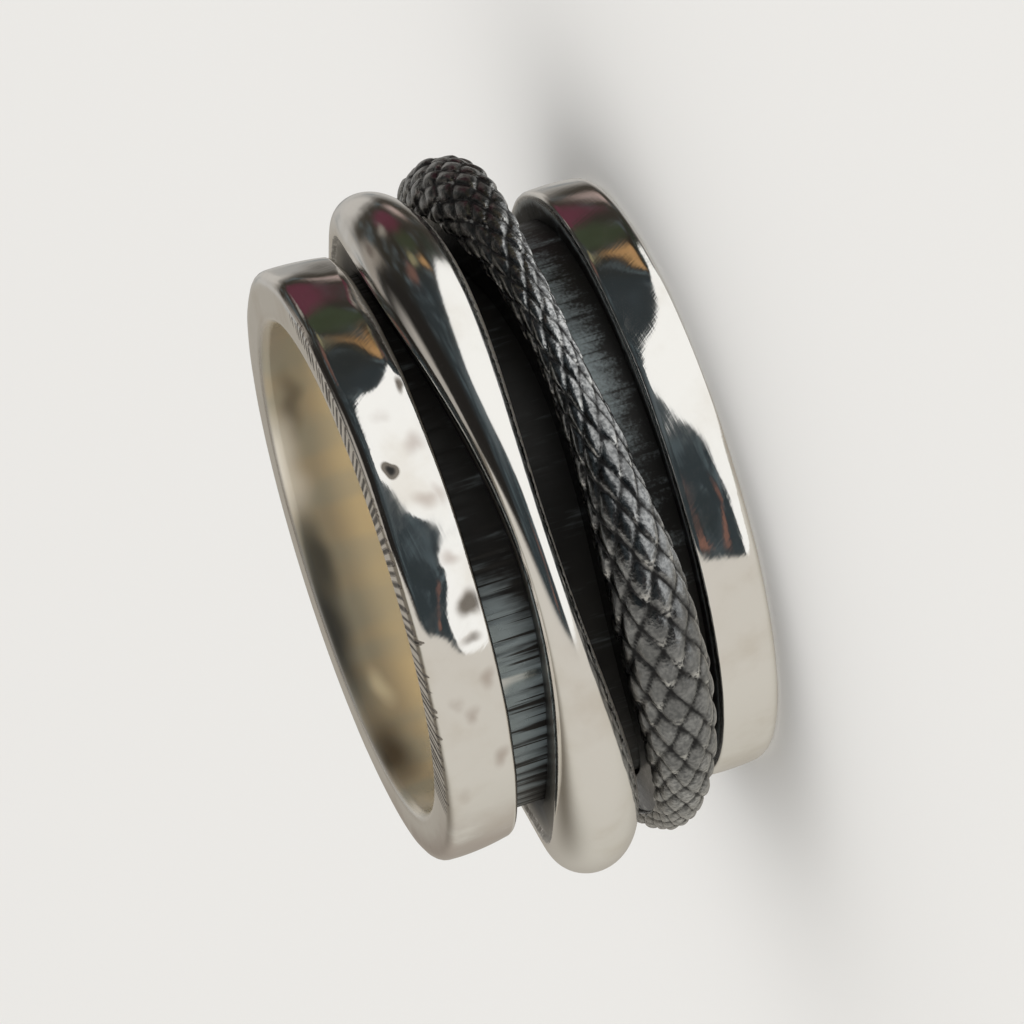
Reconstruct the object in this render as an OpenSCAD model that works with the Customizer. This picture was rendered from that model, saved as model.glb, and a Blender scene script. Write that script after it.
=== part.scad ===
// Spinner ring: a wide silver band with a sunken channel, and two undulating rings that
// turn loose in it, one smooth and one covered in scales. Millimetres.
// The ring lies on its side: its axis is +Z, and the polished rim rests on z = 0.

/* [Band] */
// Inner diameter, the finger size
bore_d = 18.2; // [16:0.1:21]
// Width of the band, from face to face
band_w = 12.4; // [12.4:0.1:14]
// Wall thickness at the two rims
rim_wall = 1.9; // [1.6:0.05:2.2]
// Wall thickness under the channel
channel_wall = 0.85; // [0.6:0.05:0.9]
// Width of the polished rim, which the ring rests on
polished_rim_w = 2.22; // [1.8:0.02:2.24]
// Width of the hammered rim
hammered_rim_w = 2.62; // [2:0.02:2.64]
// Rounding of the outer edges
outer_round = 0.4; // [0.2:0.05:0.8]
// Rounding of the edges at the finger hole
bore_round = 0.35; // [0.1:0.05:0.4]
// Rounding of the edges at the channel
channel_round = 0.12; // [0.05:0.01:0.2]

/* [Loose rings] */
// Lean of both rings, which rise towards +X, in degrees
lean = 2.7; // [0:0.1:3]
// Gap between the channel floor and the bores of the rings
running_gap = 0.2; // [0.2:0.01:0.25]
// Height of the rings' spines above the rims
spine_rise = 0.65; // [0.6:0.01:0.8]
// Thick places around each ring
waves = 3; // [2:1:5]

/* [Smooth ring] */
// Height of its middle on the band's axis
smooth_z = 7.72; // [7.72:0.01:7.8]
// Width at a thick place
smooth_thick = 3.08; // [2.4:0.02:3.08]
// Width at a thin place
smooth_thin = 1.32; // [1.2:0.02:2.2]
// Direction of one thick place, in degrees from +X
smooth_bulge_at = 82; // [0:1:120]

/* [Scaled ring] */
// Height of its middle on the band's axis
scaled_z = 4.5; // [4.4:0.01:4.5]
// Width at a thick place
scaled_thick = 3.14; // [2.4:0.02:3.14]
// Width at a thin place
scaled_thin = 1.6; // [1.4:0.02:2.2]
// Direction of one thick place, in degrees from +X
scaled_bulge_at = 119; // [0:1:120]
// Scales in one row around the ring
scales_around = 46; // [30:1:54]
// Height of a scale above the grooves, as a share of the section's half width
scale_rise = 0.12; // [0.04:0.01:0.16]

/* [Hidden] */
$fn = 96;

bore_r = bore_d / 2;
rim_r = bore_r + rim_wall;
channel_r = bore_r + channel_wall;
polished_edge = polished_rim_w; // heights of the two sides of the channel
hammered_edge = band_w - hammered_rim_w;

// A loose ring's section: a round crown, a shallower underside and a straight-sided foot.
// Angles about the spine are measured from the crown, positive towards +Z.
spine_r = rim_r + spine_rise;
loose_bore_r = channel_r + running_gap;
foot_r = channel_r; // the bore then cuts the foot to its true radius
underside = 0.47; // depth of the underside, as a share of the half width
flank = 128; // angle from the crown to the foot

smooth_sections = 108; // sections around the smooth ring
smooth_facets = 16; // facets across its crown and flanks

half_scales_across = 12; // half scales from foot to foot
half_scale = 180 / scales_around; // angle around the ring
scales_turn = -8; // turn of the rows of scales about the spine
scales_start = 0.7; // direction of the first scale, from +X
tip_lean = 0.35; // how far a scale's peak lies towards its tip, in half scales

// Half width of a loose ring in the direction a
function half_width(a, thick, thin, bulge_at) =
    (thick + thin) / 4 + (thick - thin) / 4 * cos(waves * (a - bulge_at));

// Radius and height of the point at angle q of a section of half width h
function section_point(h, q) =
    [spine_r + h * cos(q) * (abs(q) > 90 ? underside : 1), h * sin(q)];

// A radius and height p, swung round the axis to the direction a
function swing(p, a) = [p[0] * cos(a), p[0] * sin(a), p[1]];

// A section in the direction a, closed with the two bottom corners of its foot
function with_foot(crown, a) = [
    swing([foot_r, crown[0][2]], a),
    each crown,
    swing([foot_r, crown[len(crown) - 1][2]], a)
];

// Triangles of a skin over n sections of m points, the last joined to the first.
// Where section and point number add up to an odd number, the point is a peak of the skin.
function skin_faces(n, m) = [
    for (i = [0 : n - 1], j = [0 : m - 1])
        let (
            next = (i + 1) % n * m,
            a = i * m + j,
            b = next + j,
            c = next + (j + 1) % m,
            d = i * m + (j + 1) % m
        )
        each (i + j) % 2 == 1 ? [[a, d, b], [d, c, b]] : [[a, c, b], [a, d, c]]
];

// Cuts a sharp corner of a section at p; inward points into the metal on both axes
module round_off(p, inward, r) {
    over = 0.1;
    translate(p)
        difference() {
            translate([inward[0] > 0 ? -over : -r, inward[1] > 0 ? -over : -r])
                square(r + over);
            translate(inward * r)
                circle(r);
        }
}

module band() {
    rim_depth = rim_wall - channel_wall / 2;
    color([0.80, 0.79, 0.76])
        rotate_extrude()
        difference() {
            union() {
                translate([bore_r, 0])
                    square([channel_wall, band_w]);
                translate([rim_r - rim_depth, 0])
                    square([rim_depth, polished_rim_w]);
                translate([rim_r - rim_depth, hammered_edge])
                    square([rim_depth, hammered_rim_w]);
            }
            round_off([rim_r, 0], [-1, 1], outer_round);
            round_off([rim_r, band_w], [-1, -1], outer_round);
            round_off([bore_r, 0], [1, 1], bore_round);
            round_off([bore_r, band_w], [1, -1], bore_round);
            round_off([rim_r, polished_edge], [-1, -1], channel_round);
            round_off([rim_r, hammered_edge], [-1, 1], channel_round);
        }
}

// A ring that turns on its own leaning axis at height z, from its sections
module loose_ring(z, sections) {
    translate([0, 0, z])
        rotate([0, -lean, 0])
        difference() {
            polyhedron(
                points = [for (section = sections) each section],
                faces = skin_faces(len(sections), len(sections[0]))
            );
            cylinder(h = band_w, r = loose_bore_r, center = true);
        }
}

module smooth_spinner() {
    sections = [
        for (i = [0 : smooth_sections - 1])
            let (
                a = 360 * i / smooth_sections,
                h = half_width(a, smooth_thick, smooth_thin, smooth_bulge_at)
            )
            with_foot([
                for (j = [0 : smooth_facets])
                    swing(section_point(h, flank * (2 * j / smooth_facets - 1)), a)
            ], a)
    ];
    color([0.86, 0.85, 0.83])
        loose_ring(smooth_z, sections);
}

module scaled_spinner() {
    sections = [
        for (i = [0 : 2 * scales_around - 1])
            let (
                a = scales_start + i * half_scale,
                h = half_width(a, scaled_thick, scaled_thin, scaled_bulge_at)
            )
            with_foot([
                for (j = [0 : half_scales_across])
                    let (
                        q = scales_turn + flank * (2 * j / half_scales_across - 1),
                        at_foot = j == 0 || j == half_scales_across,
                        peak = (i + j) % 2 == 0 && !at_foot
                    )
                    swing(
                        section_point(h * (peak ? 1 : 1 - scale_rise), q),
                        a - (peak ? tip_lean * half_scale : 0)
                    )
            ], a)
    ];
    color([0.40, 0.40, 0.40])
        loose_ring(scaled_z, sections);
}

band();
smooth_spinner();
scaled_spinner();
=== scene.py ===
import math

import bmesh
import bpy
import numpy as np
from mathutils import Matrix, Vector


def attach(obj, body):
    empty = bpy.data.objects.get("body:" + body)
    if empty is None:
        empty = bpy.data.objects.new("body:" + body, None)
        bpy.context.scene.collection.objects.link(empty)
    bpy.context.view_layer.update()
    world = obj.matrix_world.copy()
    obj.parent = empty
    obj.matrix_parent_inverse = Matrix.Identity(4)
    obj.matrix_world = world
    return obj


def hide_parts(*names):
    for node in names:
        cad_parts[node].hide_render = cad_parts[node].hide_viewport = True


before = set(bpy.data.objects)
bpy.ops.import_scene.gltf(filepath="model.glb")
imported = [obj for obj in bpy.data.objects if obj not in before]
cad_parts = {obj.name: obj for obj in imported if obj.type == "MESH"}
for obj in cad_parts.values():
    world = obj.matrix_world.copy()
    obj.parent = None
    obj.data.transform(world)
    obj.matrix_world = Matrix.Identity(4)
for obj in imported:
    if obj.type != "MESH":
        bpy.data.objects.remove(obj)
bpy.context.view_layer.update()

mm = 0.001  # metres


def tone(red, green, blue):  # a screen colour, 0 to 255, as the linear colour of a shader
    return (*(((c / 255 + 0.055) / 1.055) ** 2.4 for c in (red, green, blue)), 1.0)


class Wire:  # a socket of a node tree; sums with wires add Math nodes
    def __init__(self, tree, socket=None):
        self.tree, self.socket = tree, socket

    def node(self, kind, inputs=None, output=0, stops=None, **settings):
        made = self.tree.nodes.new(kind)
        for name, value in settings.items():
            setattr(made, name, value)
        if stops:  # of a colour ramp
            elements = made.color_ramp.elements
            while len(elements) < len(stops):
                elements.new(1.0)
            for element, (position, colour) in zip(elements, stops):
                element.position, element.color = position, colour
        for key, value in (inputs or {}).items():
            socket = self.find(made.inputs, key)
            if isinstance(value, Wire):
                self.tree.links.new(value.socket, socket)
            else:
                socket.default_value = value
        return Wire(self.tree, self.find(made.outputs, output)) if made.outputs else None

    def find(self, sockets, key):  # by place, identifier or name
        if isinstance(key, int):
            return sockets[key]
        return next(s for s in sockets if key in (s.identifier, s.name))

    def maths(self, operation, *values):
        return self.node("ShaderNodeMath", dict(enumerate(values)), operation=operation)

    def step(self, low, high):  # 0 below low, 1 above high, smooth between
        return self.node("ShaderNodeMapRange",
                         {"Value": self, "From Min": low, "From Max": high},
                         interpolation_type="SMOOTHSTEP")

    def blend(self, first, second):  # two colours, mixed by this wire
        return self.node("ShaderNodeMix",
                         {"Factor_Float": self, "A_Color": first, "B_Color": second},
                         "Result_Color", data_type="RGBA")

    def axes(self):  # the three numbers of a place or direction
        return [self.node("ShaderNodeSeparateXYZ", {"Vector": self}, axis) for axis in "XYZ"]

    def kept(self, name):  # a value kept at the vertices of the piece
        return self.node("ShaderNodeAttribute", output="Fac", attribute_name=name)

    def __add__(self, other):
        return self.maths("ADD", self, other)

    def __sub__(self, other):
        return self.maths("SUBTRACT", self, other)

    def __rsub__(self, other):
        return self.maths("SUBTRACT", other, self)

    def __mul__(self, other):
        return self.maths("MULTIPLY", self, other)

    def __truediv__(self, other):
        return self.maths("DIVIDE", self, other)

    def __pow__(self, other):
        return self.maths("POWER", self, other)

    __radd__, __rmul__ = __add__, __mul__


# Camera, lights and floor

view = {
    "lookAt": (0, 0, 6.19), "distance": 242,  # mm
    "above": 10.08,  # degrees over the floor
    "roll": -107.53,  # degrees, so that the ring's axis lies across the picture
    "aside": (0.122, 0.211),  # mm to the picture's right and up
    "lens": 237.6,
}


def placeCamera(v):
    turn = (Matrix.Rotation(math.radians(90 - v["above"]), 3, "X")
            @ Matrix.Rotation(math.radians(v["roll"]), 3, "Z"))
    place = Vector(v["lookAt"]) + turn @ Vector((*v["aside"], v["distance"]))
    data = bpy.data.cameras.new("camera")
    data.lens, data.sensor_width = v["lens"], 36
    data.clip_start, data.clip_end = 0.01, 20
    camera = bpy.data.objects.new("camera", data)
    bpy.context.scene.collection.objects.link(camera)
    camera.matrix_world = Matrix.Translation(place * mm) @ turn.to_4x4()
    bpy.context.scene.camera = camera


placeCamera(view)
print("camera placed")

# What the silver mirrors: a dim room, a white table and a beige wall. Turn is the direction
# round the ring, 0 on the camera's side and positive towards -X. Rise is the height over
# the horizon. Both are in degrees, and so are all the widths.
studio = {
    "sides": [  # turn, colour over the table
        (-180, tone(186, 184, 180)), (-162, tone(180, 177, 172)), (-148, tone(62, 58, 52)),
        (-95, tone(44, 42, 37)), (-74, tone(46, 51, 53)), (33, tone(50, 57, 60)),
    ],
    "mist": (tone(96, 108, 113), 0.5, 0.72, 0.6),  # colour, thresholds and share
    "ceiling": (tone(35, 33, 31), 26, 50),  # colour, and the rise from which it fades in
    "spots": [  # turn, rise, half width, half height, softness, colour
        (-24, 8, 22, 16, 1.0, tone(92, 99, 102)), (-84, 13, 7, 11, 0.7, tone(108, 82, 74)),
        (-90, -2, 5, 8, 0.6, tone(132, 126, 98)), (-90, -18, 4, 8, 0.7, tone(170, 134, 92)),
        (-104, -8, 9, 14, 0.5, tone(58, 65, 50)), (-120, -1, 12, 15, 0.5, tone(90, 52, 62)),
        (-117, 12, 5, 7, 0.8, tone(150, 146, 138)), (-112, -36, 26, 9, 0.8, tone(46, 51, 44)),
        (-152, 4, 14, 17, 0.6, tone(188, 184, 178)), (-148, 36, 34, 8, 0.6, tone(150, 144, 136)),
        (-138, 34, 9, 4, 0.8, tone(104, 96, 90)), (-134, -18, 7, 8, 0.8, tone(170, 152, 146)),
        (-160, 72, 50, 22, 0.6, tone(166, 161, 154)),
        (25, -7, 6, 4, 0.7, tone(128, 94, 82)), (15, -12, 7, 4, 0.8, tone(112, 84, 76)),
    ],
    "table": tone(248, 248, 245),
    "tableSoftness": 1.5,
    "tableEdge": [  # turn, rise at which the table ends
        (-180, -46), (-150, -46), (-120, -44), (-92, -31), (-66, -16), (-50, -6), (-38, 2),
        (-30, 4), (-20, -2), (-10, -16), (-4, -24), (0, -27), (36, -29), (60, -40), (180, -46),
    ],
    "wall": [  # turn, colour
        (-180, tone(164, 158, 148)), (0, tone(206, 201, 193)), (100, tone(203, 199, 190)),
        (140, tone(194, 190, 180)), (180, tone(164, 158, 148)),
    ],
    "wallEdge": (33, 0.2, 2.0, 0.14),  # turn and softness, each with its change by rise
    "wallTop": (tone(112, 106, 96), 110, 165, 4, 36),  # colour, turns and rises of its fading in
    "meeting": -168,  # turn up to which the wall fades into the side behind the ring
    "unevenness": 5.0,  # of the spots' outlines
    "backdrop": tone(243, 242, 240),  # seen by the camera, and by the floor
    "light": ((0.1, -0.1, 0.6), 80, 0.5),  # direction, width in degrees and strength
    "floor": (6.0, tone(232, 231, 229)),  # width in metres, and colour
}


def lightStudio(s):
    world = bpy.data.worlds.new("studio")
    bpy.context.scene.world = world
    world.use_nodes = True
    world.node_tree.nodes.clear()
    tree = Wire(world.node_tree)
    direction = tree.node("ShaderNodeTexCoord", output="Generated")
    x, y, z = direction.axes()
    turn = tree.maths("ARCTAN2", x * -1, y * -1) * (180 / math.pi)
    rise = tree.maths("ARCSINE", z) * (180 / math.pi)
    circle = (turn + 180) / 360

    def ramp(stops):  # a colour for each turn
        return tree.node("ShaderNodeValToRGB", {0: circle},
                         stops=[((at + 180) / 360, paint) for at, paint in stops])

    uneven = tree.node("ShaderNodeTexNoise",
                       {"Vector": direction, "Scale": 7.0, "Detail": 4.0}, "Color")
    astray, aloft, mist = (tree.node("ShaderNodeSeparateColor", {"Color": uneven}, part)
                           for part in ("Red", "Green", "Blue"))
    astray, aloft = astray * 2 - 1, aloft * 2 - 1

    paint, low, high, share = s["mist"]
    colour = (mist.step(low, high) * share).blend(ramp(s["sides"]), paint)
    paint, low, high = s["ceiling"]
    colour = rise.step(low, high).blend(colour, paint)
    for at, height, width, tall, soft, paint in s["spots"]:
        across = (turn + astray * s["unevenness"] - at) / width
        upward = (rise + aloft * s["unevenness"] - height) / tall
        away = (across ** 2 + upward ** 2) ** 0.5
        colour = (1 - away.step(1 - soft, 1 + soft / 3)).blend(colour, paint)
    edge = ramp([(at, (height / 90 + 1,) * 3 + (1,)) for at, height in s["tableEdge"]])
    under, soft = edge * 90 - 90 - rise, s["tableSoftness"]  # degrees under the table's edge
    colour = under.step(-soft, soft).blend(colour, s["table"])

    behind = 1 - turn.step(-180, s["meeting"])
    paint, near, far, low, high = s["wallTop"]
    top = tree.maths("MAXIMUM", turn.step(near, far), behind) * rise.step(low, high)
    wall = top.blend(ramp(s["wall"]), paint)
    at, slope, soft, softer = s["wallEdge"]
    softness = tree.maths("MAXIMUM", rise, 0) * softer + soft
    beyond = ((turn - at + rise * slope) / softness).step(-1, 1)
    colour = tree.maths("MAXIMUM", beyond, behind).blend(colour, wall)

    mirrored = tree.node("ShaderNodeLightPath", output="Is Glossy Ray")
    shown = tree.node("ShaderNodeBackground", {"Color": mirrored.blend(s["backdrop"], colour)})
    tree.node("ShaderNodeOutputWorld", {"Surface": shown})
    world.cycles.sampling_method = "NONE"  # each ray then sees the light meant for its kind


def hangLight(name, place, spread, strength):  # a wide soft light, for the floor alone
    data = bpy.data.lights.new(name, "SUN")
    data.angle, data.energy = math.radians(spread), strength
    light = bpy.data.objects.new(name, data)
    bpy.context.scene.collection.objects.link(light)
    light.location = place
    light.rotation_euler = (-Vector(place)).to_track_quat("-Z", "Y").to_euler()
    light.visible_glossy = False


def newPiece(name, bm):
    mesh = bpy.data.meshes.new(name)
    bmesh.ops.recalc_face_normals(bm, faces=bm.faces[:])
    bm.to_mesh(mesh)
    bm.free()
    mesh.shade_smooth()
    piece = bpy.data.objects.new(name, mesh)
    bpy.context.scene.collection.objects.link(piece)
    return piece


def newMaterial(piece, name):
    material = bpy.data.materials.new(name)
    material.use_nodes = True
    material.node_tree.nodes.clear()
    piece.data.materials.append(material)
    return Wire(material.node_tree)


def layFloor(size, colour):
    bm = bmesh.new()
    bmesh.ops.create_grid(bm, x_segments=1, y_segments=1, size=size / 2)
    floor = newPiece("floor", bm)
    floor.location.z = -0.01 * mm
    floor.visible_glossy = False
    tree = newMaterial(floor, "pale floor")
    paint = tree.node("ShaderNodeBsdfPrincipled", {"Base Color": colour, "Roughness": 0.9,
                                                   "Specular IOR Level": 0.1})
    tree.node("ShaderNodeOutputMaterial", {"Surface": paint})


lightStudio(studio)
hangLight("soft overhead light", *studio["light"])
layFloor(*studio["floor"])
bpy.context.scene.view_settings.view_transform = "Standard"
print("studio lit")


# Shapes that the pieces share

def ease(low, high, x):  # 0 below low, 1 above high, smooth between, for arrays
    t = np.clip((x - low) / (high - low), 0, 1)
    return t * t * (3 - 2 * t)


def places(piece):  # of its vertices, in mm
    flat = np.empty(len(piece.data.vertices) * 3)
    piece.data.vertices.foreach_get("co", flat)
    return flat.reshape(-1, 3) / mm


def move(piece, x, y, z):
    piece.data.vertices.foreach_set("co", (np.stack([x, y, z], 1) * mm).ravel())
    piece.data.update()


def keep(piece, name, values):  # values at its vertices, for its material to read
    layer = piece.data.attributes.new(name, "FLOAT", "POINT")
    layer.data.foreach_set("value", np.asarray(values, float))


def wrapped(angle):  # in degrees, from -180 to 180
    return (angle + 180) % 360 - 180


def chart(points, angle, softness=1.5):  # a table by azimuth, softened over some degrees
    shifts = np.linspace(-softness, softness, 7)
    around = [np.interp(angle + shift, *zip(*points), period=360) for shift in shifts]
    return sum(around) / len(around)


def spinRound(bm, steps, sectors):  # one sector first, and then its copies
    sector = 2 * math.pi / sectors
    about = {"axis": (0, 0, 1), "cent": (0, 0, 0)}
    bmesh.ops.spin(bm, geom=bm.verts[:] + bm.edges[:], steps=steps // sectors, angle=sector,
                   **about)
    bmesh.ops.spin(bm, geom=bm.verts[:] + bm.edges[:] + bm.faces[:], steps=sectors - 1,
                   angle=2 * math.pi - sector, use_duplicate=True, **about)
    bmesh.ops.remove_doubles(bm, verts=bm.verts[:], dist=0.002 * mm)


def cuts(seed, apart, width, depth):  # irregular cuts round a ring: their depth at an angle
    rng = np.random.default_rng(seed)
    angles = np.arange(0, 360, 0.05)
    profile, at = np.zeros(len(angles)), 0.0
    while at < 360 - apart[0]:
        deep, wide = rng.uniform(*depth), rng.uniform(*width)
        profile = np.maximum(profile, deep * np.exp(-(wrapped(angles - at) / wide) ** 2))
        at += rng.uniform(*apart)
    return lambda angle: np.interp(angle % 360, angles, profile, period=360)


# Band

band = {
    "corners": [  # radius, height, rounding and its facets, parts of the side that follows
        (9.1, 0, 0.35, 4, 1), (11, 0, 0.4, 5, 12), (11, 2.22, 0.12, 2, 2), (9.95, 2.22, 0, 0, 5),
        (9.95, 9.78, 0, 0, 2), (11, 9.78, 0.12, 2, 34), (11, 12.4, 0.4, 5, 6),
        (9.1, 12.4, 0.35, 4, 3),
    ],
    "rim": 11,  # radius
    "channel": (2.22, 9.78, 9.95),  # heights of its sides, radius of its floor
    "steps": 1100, "sectors": 44, "seed": 3,
    "face": (10.4, 10.9),  # radii over which the rims' outer faces begin
    "endFace": (12.0, 12.3),  # heights over which the hammered end begins
    "crown": 0.105,  # bend of the rims' faces, in radians a mm
    # Most depths of the facets, and both middles, are a scratch program's fit to the
    # brightness of the photographed rims. They weren't charted by hand.
    "middles": (1.46, 11.63),  # heights of the rims' crowns
    "facets": {  # low hollows and hills of both faces, by azimuth from the first
        "first": -117, "apart": 4, "reach": (0.85, 0.7),
        "usual": (5, 26),  # depths round the rest of the polished and of the hammered rim
        "polished": [  # height, depths in thousandths
            (0.2, (-5, -28, -51, -3, 2, -13, 21, 14, -5, -8, 3, 1, -10, -9, -16, -34, -34, 12, 0)),
            (0.9, (-15, -52, -46, -27, -53, -46, -46, -32, -18, -6, 26, 28, 0, -32, 0, 7, -29, 12,
                   -8)),
            (1.6, (-8, 1, -5, 22, 50, 37, 12, 18, 18, 6, -36, -74, -43, 17, 16, 23, 17, 6, -6)),
            (2.3, (-3, 4, 3, -11, 7, 3, 0, -17, -26, 11, -22, -3, -28, -17, 9, 6, 2, -2, -7)),
        ],
        "hammered": [
            (10.0, (-1, 4, 26, 30, 51, 8, 46, 15, -3, 2, 2, 0, 1, -2, -25, -76, -34, -10, 0)),
            (10.7, (-23, -80, -6, -22, 9, -94, -10, -8, -32, 60, 17, 8, 17, 53, 2, -64, -38, -12,
                    0)),
            (11.4, (-24, -81, -66, -80, -58, -44, 4, 32, -24, -22, -40, -48, -54, -18, -15, 23,
                    30, 3, 0)),
            (12.1, (0, 13, -13, -30, 15, 6, 0, -18, 14, -3, -57, -48, -42, -56, -50, -27, 0, 0, 0)),
        ],
    },
    "dents": [  # azimuth, height, half width, half height, depth, brown painted reflection, soot
        (-75.6, 11.50, 0.42, 0.34, 0.036, 0.23, 0.9), (-64.8, 11.15, 0.52, 0.44, 0.006, 0.34, 0),
        (-82.3, 10.62, 0.50, 0.62, 0.006, 0.5, 0), (-71.5, 10.36, 0.66, 0.50, 0.005, 0.5, 0),
        (-59.8, 10.10, 0.50, 0.24, 0.020, 0.14, 0.3), (-93.6, 10.50, 0.36, 0.50, 0.006, 0.5, 0),
        (-82.0, 10.10, 0.60, 0.30, 0.006, 0.4, 0), (-102.5, 10.28, 0.84, 0.62, 0.012, 0.45, 0.3),
        (-108.8, 10.48, 0.36, 0.54, 0.010, 0.27, 0.2), (-120.3, 11.55, 0.50, 0.34, 0.008, 0.36, 0),
        (-123.3, 11.10, 0.44, 0.42, 0.008, 0.5, 0), (-117.2, 10.30, 0.50, 0.46, 0.016, 0.5, 0),
        (-135.5, 10.30, 0.66, 0.44, 0.012, 0.5, 0), (-143, 11.80, 0.60, 0.40, 0.012, 0.18, 0),
        (-152, 10.9, 0.80, 0.70, 0.014, 0.14, 0), (-163, 11.4, 0.70, 0.60, 0.014, 0.14, 0),
    ],
    "moreDents": 64,  # on the far side
    "moreDentsWithin": ((0, 180), (9.9, 12), (0.3, 0.7), (0.25, 0.5), (0.010, 0.03), (0.1, 0.4)),
    "paintedEndShade": [  # azimuth, and share of brown painted shade at the hammered end
        (-180, 0.9), (-168, 0.75), (-148, 0), (130, 0), (160, 0.8),
    ],
    # cuts: a seed, then the least and most of their spacing and width in degrees and their depth
    "notch": (11, (1.4, 2.6), (0.4, 0.65), (0.02, 0.04)),  # of the hammered end
    "notchReach": (23, (1.4, 3.0), (0.9, 1.3), (0, 0.3)),
    "groove": (4, (1.8, 5.5), (0.22, 0.6), (0.02, 0.05)),  # across the channel floor
    "streak": (9, (0.4, 1.1), (0.12, 0.3), (0.001, 0.006)),
    "notched": [(-154, 0), (-147, 1), (-40, 1), (-27, 0)],  # azimuth, share
    "notchStart": [(-180, 9.3), (-70, 9.3), (-48, 9.8), (-28, 10.2)],  # azimuth, radius
    "notchEnd": [(-180, 10.55), (-110, 10.55), (-90, 10.45), (180, 10.45)],
    "hammeredSootAndShade": [  # azimuth, how black the channel floor is beside the hammered rim: oxide, with painted shade where it is blackest
        (-180, 0.8), (-166, 0.7), (-154, 0.45), (-142, 0.25), (-125, 0.2), (-123.4, 0.12),
        (-121.6, 0.12), (-120, 0.2), (-112, 0.22), (-107, 0.34), (-98, 0.75), (-88, 0.92),
        (-60, 1), (-20, 0.95), (60, 0.8), (120, 0.7), (180, 0.6),
    ],
    "polishedSoot": [  # azimuth, how black the channel floor is beside the polished rim
        (-180, 0.6), (-110, 0.7), (-80, 0.42), (-68, 0.25), (-58, 0.34), (-45, 0.45), (-28, 0.6),
        (40, 0.7), (120, 0.7), (180, 0.6),
    ],
    "middleSoot": 0.98, "wallSoot": 0.95,
    "wallSootEnd": (10.6, 10.97),  # radii over which it ends
    "middle": ((3.4, 4.6), (6.8, 8.4)),  # heights over which its soot fades in and out
}


def turnBand(b):  # its outline, rounded at the corners and spun round
    bm = bmesh.new()
    corners = [Vector((r, 0, z)) * mm for r, z, *rest in b["corners"]]
    points = [bm.verts.new(corner) for corner in corners]
    bm.faces.new(points)
    for point, (*rest, rounding, facets, parts) in zip(points, b["corners"]):
        if rounding:
            bmesh.ops.bevel(bm, geom=[point], offset=rounding * mm, segments=facets,
                            profile=0.5, affect="VERTICES", material=-1)
    bmesh.ops.delete(bm, geom=bm.faces[:], context="FACES_ONLY")
    followers = corners[1:] + corners[:1]
    for corner, following, (*rest, parts) in zip(corners, followers, b["corners"]):
        ends = corner + following
        side = min(bm.edges, key=lambda e: (e.verts[0].co + e.verts[1].co - ends).length)
        bmesh.ops.subdivide_edges(bm, edges=[side], cuts=parts - 1)
    spinRound(bm, b["steps"], b["sectors"])
    return newPiece("band", bm)


def hammer(b, angle, z, lower, upper):  # the marks' depth on both rims, and the dents' brown painted reflection and soot on the hammered rim
    sink, brown_painted_light, soot_and_shade = np.zeros((3, len(z)))
    rng = np.random.default_rng(b["seed"])
    facets, (wide, tall) = b["facets"], b["facets"]["reach"]
    around = int(360 / facets["apart"])
    for rim, name, usual in zip((lower, upper), ("polished", "hammered"), facets["usual"]):
        for height, depths in facets[name]:
            rest = usual * rng.uniform(-1, 1, around - len(depths))
            for i, depth in enumerate((*depths, *rest)):
                along = wrapped(angle - facets["first"] - i * facets["apart"])
                along = np.radians(along) * b["rim"]
                near = np.abs(along) < 2.5 * wide
                hill = rim * np.exp(-(along / wide) ** 2 - ((z - height) / tall) ** 2)
                sink[near] += depth / 1000 * hill[near]
    more = [(*(rng.uniform(*within) for within in b["moreDentsWithin"]), 0)
            for _ in range(b["moreDents"])]
    for at, height, wide, tall, depth, brown, black in b["dents"] + more:
        along = np.radians(wrapped(angle - at)) * b["rim"] / wide
        aloft = (z - height) / tall
        way = np.arctan2(aloft, along)
        reach = 1 + 0.16 * np.sin(2 * way + at) + 0.12 * np.sin(3 * way + 2 * at)  # not quite oval
        bowl = np.clip(1 - (along ** 2 + aloft ** 2) / reach ** 2, 0, 1) ** 2 * upper
        sink += depth * bowl
        brown_painted_light, soot_and_shade = np.maximum(brown_painted_light, brown * bowl), np.maximum(soot_and_shade, black * bowl)
    return sink, brown_painted_light, soot_and_shade


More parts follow.
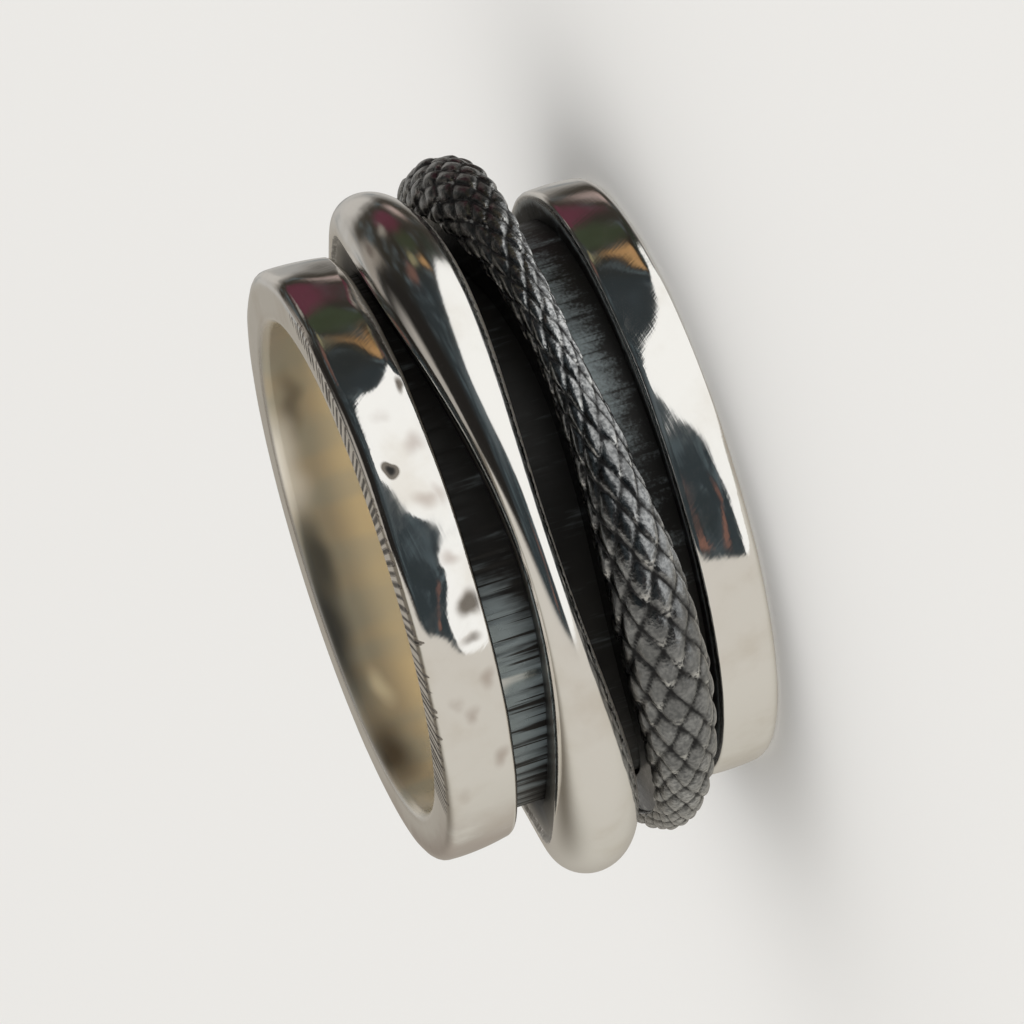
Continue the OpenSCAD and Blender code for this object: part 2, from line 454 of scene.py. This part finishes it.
def makeBand(b):
    piece = turnBand(b)
    x, y, z = places(piece).T
    r, angle = np.hypot(x, y), np.degrees(np.arctan2(y, x))
    bottom, top, sunk = b["channel"]
    near = 0.02  # mm, to hold the vertices on its sides
    face = ease(*b["face"], r)  # 1 on the rims' outer faces
    lower, upper = face * (z < bottom + near), face * (z > top - near)
    sink, brown_painted_light, soot_and_shade = hammer(b, angle, z, lower, upper)
    for rim, middle in zip((lower, upper), b["middles"]):
        sink += b["crown"] / 2 * rim * (z - middle) ** 2

    channel = (z > bottom - near) & (z < top + near) & (r > sunk - near)
    floor = channel & (r < sunk + near)
    fadeIn, fadeOut = b["middle"]
    beyond = ease(*fadeIn, z)  # 1 from the channel's middle up
    beside = ease(*fadeOut, z)  # 1 beside the hammered rim
    slanted = angle + 0.25 * (z - 6)
    groove = cuts(*b["groove"])(slanted) * (0.1 + 0.9 * beside)
    sink += floor * (groove + cuts(*b["streak"])(slanted) * (0.3 + 0.7 * beside))

    first = chart(b["notchStart"], angle)
    last = chart(b["notchEnd"], angle) + cuts(*b["notchReach"])(angle)
    notch = (cuts(*b["notch"])(angle) * chart(b["notched"], angle)
             * ease(first, first + 0.2, r) * ease(*b["endFace"], z))
    notch_oxide_and_shadow = ease(0.006, 0.02, notch * (1 - ease(last, last + 0.25, r)))  # painted shadow and oxide along the notches, reaching a little past the cuts
    r2 = r - sink
    move(piece, x / r * r2, y / r * r2, z - 0.25 * notch * (1 - ease(10.2, 10.5, r)))

    # blackness of the channel floor round the ring and across it; the hammered side's share holds
    # painted shade
    low, high = chart(b["polishedSoot"], angle), chart(b["hammeredSootAndShade"], angle)
    black = low + (b["middleSoot"] - low) * beyond
    black += (high - b["middleSoot"]) * beside + 10 * groove
    black += 0.4 * beside * ease(0.1, 0.2, high) * (1 - ease(8.3, 9.4, z))
    # oxide on the channel's floor and walls, with painted shade in its corner and beside the
    # hammered rim
    channel_soot_and_shade = np.where(floor, black, b["wallSoot"]) * (1 - ease(*b["wallSootEnd"], r)) * channel
    channel_soot_and_shade = np.maximum(channel_soot_and_shade, floor * (1 - ease(bottom, bottom + 0.5, z)))  # painted shade in the channel's corner beside the polished rim
    # soot and painted shade: oxide and the dents' soot, with the painted shade of the channel's
    # corner, the hammered side and the notches
    keep(piece, "soot_and_shade", np.clip(np.maximum(channel_soot_and_shade, soot_and_shade) + 0.8 * notch_oxide_and_shadow, 0, 1))
    # brown painted shade on the hammered rim and end round azimuth 180
    paintedEndShade = chart(b["paintedEndShade"], angle, 4) * (z > 9.9) * ease(9.6, 10.6, r)
    keep(piece, "brown_painted_light", np.maximum(brown_painted_light, paintedEndShade))
    piece.data.set_sharp_from_angle(angle=math.radians(60))
    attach(piece, "band")
    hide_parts("band")
    return piece


# Loose rings

looseRing = {
    "lean": 2.7,  # degrees
    "spine": 11.65, "bore": 10.15,  # radii of the section's middle and of its foot
    "waves": 3,  # thick places
    "underside": 0.47,  # its depth, as a share of the half width
}
smoothRing = {
    **looseRing, "height": 7.72, "thick": 3.08, "thin": 1.32,
    "bulgeAt": 82,  # azimuth of a thick place
    "from": -128, "to": 128,  # degrees from the crown, over which the section is round
    "facets": 72, "steps": 600, "sectors": 24,
    "tarnishedAndShaded": ((40, 66), (88, 112)),  # degrees below and above the crown over which the flanks are tarnished, with painted shade for their dark reflection of the channel
    "flankSootAndShade": 0.55,
}
scaledRing = {
    **looseRing, "height": 4.5, "thick": 3.14, "thin": 1.6, "bulgeAt": 119,
    "from": -136, "to": 120, "facets": 84, "steps": 644, "sectors": 23,
    "scalesAround": 46, "scalesAcross": 6, "scalesStart": 0.7, "scalesTurn": -8,
    "rise": 0.22,  # depth of the grooves, as a share of the half width
    "roundness": 1.12, "reach": 1.02, "shoulder": 2.0,  # outline, size and profile of a scale
    "tilt": 0.5, "unlike": 0.35, "warp": 0.11,
}


def swelling(angle, v):  # 1 at the thick places, -1 at the thin ones
    return np.cos(v["waves"] * np.radians(angle - v["bulgeAt"]))


def makeRing(name, v, surface):  # the surface gives a share of the half width
    bm = bmesh.new()
    spine = Vector((v["spine"], 0, 0)) * mm
    first = Matrix.Rotation(math.radians(-v["from"]), 3, "Y") @ Vector((mm, 0, 0))
    start = bm.verts.new(spine + first)
    arc = bmesh.ops.spin(bm, geom=[start], axis=(0, -1, 0), cent=spine, steps=v["facets"],
                         angle=math.radians(v["to"] - v["from"]))
    end = next(g for g in arc["geom_last"] if isinstance(g, bmesh.types.BMVert))
    feet = [bm.verts.new((v["bore"] * mm, 0, side * mm / 2)) for side in (1, -1)]
    for pair in ((end, feet[0]), feet, (feet[1], start)):
        bm.edges.new(pair)
    spinRound(bm, v["steps"], v["sectors"])
    piece = newPiece(name, bm)

    x, y, z = places(piece).T
    r, angle = np.hypot(x, y), np.degrees(np.arctan2(y, x))
    across = np.degrees(np.arctan2(z, r - v["spine"]))  # from the crown, positive upwards
    across = np.where(across > v["to"] + 1, across - 360, across)
    foot = r < v["bore"] + 0.001
    half = (v["thick"] + v["thin"] + (v["thick"] - v["thin"]) * swelling(angle, v)) / 4
    skin = half * surface(piece, angle, across, foot, v)
    q = np.radians(across)
    r2 = v["spine"] + skin * np.cos(q) * np.where(np.abs(across) > 90, v["underside"], 1)
    z2 = skin * np.sin(q)
    lowest, highest = (half * math.sin(math.radians(v[side])) for side in ("from", "to"))
    r2 = np.where(foot, v["bore"], r2)
    z2 = np.where(foot, np.where(z > 0, highest, lowest), z2)
    x2, y2 = x / r * r2, y / r * r2
    lean = math.radians(v["lean"])
    move(piece, x2 * math.cos(lean) - z2 * math.sin(lean), y2,
         x2 * math.sin(lean) + z2 * math.cos(lean) + v["height"])
    return piece


def flanksTarnishAndShade(piece, angle, across, foot, v):
    below, above = v["tarnishedAndShaded"]
    flank = np.maximum(ease(*below, -across), ease(*above, across))
    # flanks: tarnish with painted shade for their dark reflection of the channel; black feet
    keep(piece, "soot_and_shade", np.where(foot, 1, v["flankSootAndShade"] * flank))
    return 1


def scales(piece, angle, across, foot, v):  # tiles that overlap towards -azimuth
    columns = 2 * v["scalesAround"]
    u = (v["scalesStart"] - angle) / (360 / columns)
    w = (across - v["scalesTurn"]) / ((v["to"] - v["from"]) / 2 / v["scalesAcross"])
    u, w = (u + v["warp"] * np.sin(math.tau * 11 * u / columns + 1.9 * w),
            w + v["warp"] * np.sin(math.tau * 17 * u / columns - 1.3 * w))
    height, hollow_oxide_and_shade, wear = np.zeros((3, len(u)))
    for i in range(-2, 4):  # the scales within reach
        for j in range(-2, 4):
            column, row = np.floor(u) + i, np.floor(w) + j
            along, aside = u - column, w - row
            place = column % columns
            chance = np.sin(place * 12.9898 + row * 78.233) * 43758.5453 % 1  # by scale, 0 to 1
            other = np.sin(place * 39.346 + row * 11.135) * 24634.6345 % 1
            reach = v["reach"] * (0.97 + 0.06 * chance)
            away = (np.abs(along / reach) ** v["roundness"]
                    + np.abs(aside / reach) ** v["roundness"]) ** (1 / v["roundness"])
            dome = np.sqrt(np.clip(1 - away ** v["shoulder"], 0, 1))
            tile = dome * (1 - v["tilt"] * (1 - along) / 2
                           + v["unlike"] * (chance - 0.5 + (other - 0.5) * aside))
            tile = np.where((column + row) % 2 == 0, tile, 0)  # as on a chessboard
            tip = ease(0.3, 0.7, along) * (1 - ease(0.75, 0.95, dome)) * ease(0.2, 0.6, other)
            above = tile > height
            # darker towards each scale's edges, for oxide in the grooves and painted shade over the
            # dome, and darker at its low root as a painted shadow
            hollow_oxide_and_shade = np.where(above, dome * (1 - 0.3 * ease(0.2, 0.9, -along)), hollow_oxide_and_shade)
            wear = np.where(above, tip, wear)
            height = np.where(above, tile, height)
    edge = ease(0, 14, np.minimum(across - v["from"], v["to"] - across))
    height = np.where(foot, 0, height * edge)
    keep(piece, "groove_oxide_and_shade", np.where(foot, 0.75, np.maximum(hollow_oxide_and_shade * edge, 0.62 * (1 - edge))))
    keep(piece, "wear", wear * height)
    thin_places_painted_sheen = 0.5 - 0.5 * swelling(angle, v)  # the thin places, which get a paler body as a painted sheen
    keep(piece, "thin_places_painted_sheen", thin_places_painted_sheen)
    return 1 - v["rise"] * (0.8 + 0.2 * thin_places_painted_sheen) * (1 - height)


# Metals

silver = {
    "colour": tone(248, 246, 243), "dull": tone(236, 231, 224), "brown": tone(158, 134, 122),
    "grey": tone(142, 153, 156), "smoke": tone(122, 115, 107), "ash": tone(146, 140, 130),
    "black": tone(34, 32, 30),
    "face": (10.5, 10.9),  # radii over which the rims' outer faces begin
    "middle": (3.4, 4.4), "hammered": (9.8, 10),  # heights over which both begin
    "roughness": 0.08, "ringRoughness": 0.11, "sootRoughness": 0.5, "sootMetal": 0.25,
}
bore = {
    "radius": 9.1,
    "edge": (9.15, 9.5),  # radii over which it ends
    "deep": (tone(244, 226, 188), tone(226, 215, 188)),
    "shallow": (tone(186, 173, 148), tone(176, 170, 152)),
    "between": (9.7, 11.2),  # heights over which the deep colours fade into the shallow ones, a painted reflection
    "wander": 1.2,  # mm, of the patches' outlines
    "roughness": 0.26, "metal": 0.5,
    "patches": [  # painted reflections: azimuth, height, half width, half height, colour
        (45, 11.5, 2.2, 0.45, tone(138, 129, 112)), (15, 12.1, 2.6, 0.7, tone(178, 168, 150)),
        (62, 12.1, 2.5, 0.75, tone(240, 233, 220)), (168, 12.0, 1.6, 0.8, tone(214, 206, 190)),
        (120, 11.25, 1.0, 0.4, tone(232, 220, 190)), (102, 12.2, 4.2, 0.8, tone(84, 82, 76)),
        (86, 11.8, 1.8, 0.6, tone(98, 96, 88)), (140, 12.0, 2.2, 0.9, tone(96, 84, 68)),
        (-60, 11.4, 4.0, 1.2, tone(120, 114, 100)), (-130, 11.0, 3.0, 1.4, tone(150, 136, 110)),
    ],
}
darkSilver = {
    "groove": tone(34, 34, 35), "body": tone(126, 128, 130), "dusky": tone(70, 71, 72),
    "pale": tone(214, 215, 216), "worn": tone(246, 246, 244), "roughness": 0.24,
}


def finishMetal(tree, colour, roughness, height, depth, metallic=1.0):
    bump = tree.node("ShaderNodeBump", {"Height": height, "Distance": depth * mm, "Strength": 1.0})
    metal = tree.node("ShaderNodeBsdfPrincipled", {"Base Color": colour, "Metallic": metallic,
                                                   "Roughness": roughness, "Normal": bump})
    tree.node("ShaderNodeOutputMaterial", {"Surface": metal})


def speckle(tree, at, scale, detail=4.0, stretch=(1, 1, 1), turn=0.0, output=0):  # noise, in mm
    mapped = tree.node("ShaderNodeMapping",
                       {"Vector": at, "Scale": stretch, "Rotation": (0, turn, 0)},
                       vector_type="TEXTURE")
    return tree.node("ShaderNodeTexNoise",
                     {"Vector": mapped, "Scale": 1000 / scale, "Detail": detail}, output)


def distance(tree, at, place, size):  # from a place, as a share of a size, both in mm
    mapped = tree.node("ShaderNodeMapping", {"Vector": at, "Scale": [s * mm for s in size],
                                             "Location": [p * mm for p in place]},
                       vector_type="TEXTURE")
    return tree.node("ShaderNodeVectorMath", {0: mapped}, "Value", operation="LENGTH")


def scratched(tree, along):  # two crossing sets of fine scratches
    return sum(speckle(tree, along, 0.1, 3.0, (14, 1, 1), turn) for turn in (0.9, -0.15))


def unrolled(tree, at):  # a place as laid out flat, with its radius and height in mm
    x, y, z = at.axes()
    radius = (x ** 2 + y ** 2) ** 0.5
    around = tree.maths("ARCTAN2", x, y * -1) * (11 * mm)
    flat = tree.node("ShaderNodeCombineXYZ", {"X": around, "Y": radius, "Z": z})
    return flat, radius / mm, z / mm


def finishSmoothRing(piece, m):
    tree = newMaterial(piece, "polished silver")
    at = tree.node("ShaderNodeTexCoord", output="Object")
    haze, soot_and_shade = speckle(tree, at, 3.0), tree.kept("soot_and_shade")
    tarnish_and_shade = (soot_and_shade * 1.6 - speckle(tree, at, 0.16, 3.0)).step(0, 0.5)  # granular tarnish, with painted shade on the flanks for their dark reflection
    colour = haze.step(0.45, 0.75).blend(m["colour"], m["dull"])
    colour = tarnish_and_shade.blend(colour, m["ash"])
    colour = soot_and_shade.step(0.6, 1).blend(colour, m["black"])
    roughness = haze.step(0.4, 0.8) * 0.04 + m["ringRoughness"] + tarnish_and_shade * 0.3
    metallic = 1 - tarnish_and_shade * (1 - m["sootMetal"])
    flat, *rest = unrolled(tree, at)
    finishMetal(tree, colour, roughness, scratched(tree, flat), 0.001, metallic)


def boreColourAndReflections(tree, at, height, b):  # its warm colour with painted reflections: soft patches where the finger hole mirrors itself
    drift = speckle(tree, at, 2.4, 1.0, (1, 1, 2), output="Color")
    place = tree.node("ShaderNodeVectorMath", {0: drift, 1: (b["wander"] * mm,) * 3, 2: at},
                      operation="MULTIPLY_ADD")
    column = speckle(tree, at, 1.6, 1.0, (1, 1, 3)).step(0.35, 0.65)
    deep, shallow = column.blend(*b["deep"]), column.blend(*b["shallow"])
    colour = height.step(*b["between"]).blend(deep, shallow)
    shift = b["wander"] / 2  # the drift's mean
    for azimuth, aloft, wide, tall, paint in b["patches"]:
        turn = math.radians(azimuth)
        centre = (b["radius"] * math.cos(turn) + shift, b["radius"] * math.sin(turn) + shift,
                  aloft + shift)
        near = 1 - distance(tree, place, centre, (wide, wide, tall)).step(0.1, 1.3)
        colour = near.blend(colour, paint)
    return colour


def finishBand(piece, m, b):
    tree = newMaterial(piece, "band silver")
    at = tree.node("ShaderNodeTexCoord", output="Object")
    flat, radius, height = unrolled(tree, at)
    soot_and_shade, brown_painted_light = tree.kept("soot_and_shade"), tree.kept("brown_painted_light")
    haze = speckle(tree, at, 2.5)
    streaks = speckle(tree, at, 0.13, 2.0, (1, 1, 20)) - 0.5
    lines = 1 - speckle(tree, at, 0.17, 1.0, (1, 1, 60)).step(0.36, 0.42)
    mottle = speckle(tree, at, 0.6, 6.0, (1, 1, 3)) - 0.5
    cloud = speckle(tree, flat, 0.7, 6.0, (2, 1, 1), 0.7).step(0.5, 0.75)
    inside = 1 - radius.step(*b["edge"])
    face = radius.step(*m["face"])
    middle = height.step(*m["middle"])  # 0 beside the polished rim
    tarnish_and_shade = soot_and_shade.step(0.15, 0.45)
    lined = tarnish_and_shade * (1 - face) * (middle * 0.75 + 0.25)  # across the channel
    grain = (speckle(tree, at, 0.11, 3.0) - 0.5) * 0.5 * tarnish_and_shade * (1 - middle)

    colour = haze.step(0.45, 0.75).blend(m["colour"], m["dull"])
    # brown painted light: a painted reflection in the dents, and painted shade at the hammered end
    colour = (brown_painted_light * 0.9 * haze.step(0.3, 0.5)).blend(colour, m["brown"])
    colour = inside.blend(colour, boreColourAndReflections(tree, at, height, b))
    # patina, with painted shade wherever the soot carries it
    patina_and_shade = soot_and_shade + (streaks * lined * 0.5 + mottle) * soot_and_shade + lines * lined * 0.45 + grain
    grey = face.blend(m["grey"], m["smoke"])
    grey = height.step(*m["hammered"]).blend(grey, m["smoke"])
    colour = patina_and_shade.step(0.02, 0.28).blend(colour, grey)
    colour = patina_and_shade.step(0.4, 0.95).blend(colour, m["black"])

    roughness = soot_and_shade * (m["sootRoughness"] - m["roughness"]) + m["roughness"]
    roughness += inside * (b["roughness"] - m["roughness"]) + cloud * (1 - inside) * 0.1
    metallic = 1 - tarnish_and_shade * (1 - m["sootMetal"]) - inside * (1 - b["metal"])
    uneven = scratched(tree, flat) * (1 - inside)
    uneven += (streaks * lined + mottle * tarnish_and_shade + grain) * 4
    finishMetal(tree, colour, roughness, uneven, 0.0022, metallic)


def finishScaledRing(piece, m):
    tree = newMaterial(piece, "darkened silver")
    at = tree.node("ShaderNodeTexCoord", output="Object")
    wear, thin_places_painted_sheen = tree.kept("wear"), tree.kept("thin_places_painted_sheen")
    grain = speckle(tree, at, 0.14, 4.0)
    height = tree.kept("groove_oxide_and_shade") + (grain - 0.5) * 0.3
    raised = height.step(0.3, 0.6)
    # paler body at the thin places, a painted sheen, and paler grain at random
    body = ((thin_places_painted_sheen * 0.75 + 0.25) * grain.step(0.3, 0.68)).blend(m["body"], m["pale"])
    patches = speckle(tree, at, 1.3, 2.0).step(0.35, 0.65)
    body = (patches * 0.35).blend(body, m["dusky"])
    # groove colour: oxide in the grooves, with painted shade over the domes and at the roots
    colour = height.step(0.34, 0.88).blend(m["groove"], body)
    colour = (wear * grain.step(0.4, 0.55)).blend(colour, m["worn"])
    roughness = (1 - raised) * 0.3 + m["roughness"]
    finishMetal(tree, colour, roughness, grain, 0.02, raised * 0.4 + 0.6)


finishBand(makeBand(band), silver, bore)
print("band made")
smooth = makeRing("smooth_spinner", smoothRing, flanksTarnishAndShade)
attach(smooth, "smooth_ring")
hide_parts("smooth_spinner")
finishSmoothRing(smooth, silver)
print("smooth ring made")
scaled = makeRing("scaled_spinner", scaledRing, scales)
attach(scaled, "scaled_ring")
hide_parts("scaled_spinner")
finishScaledRing(scaled, darkSilver)
print("scaled ring made")
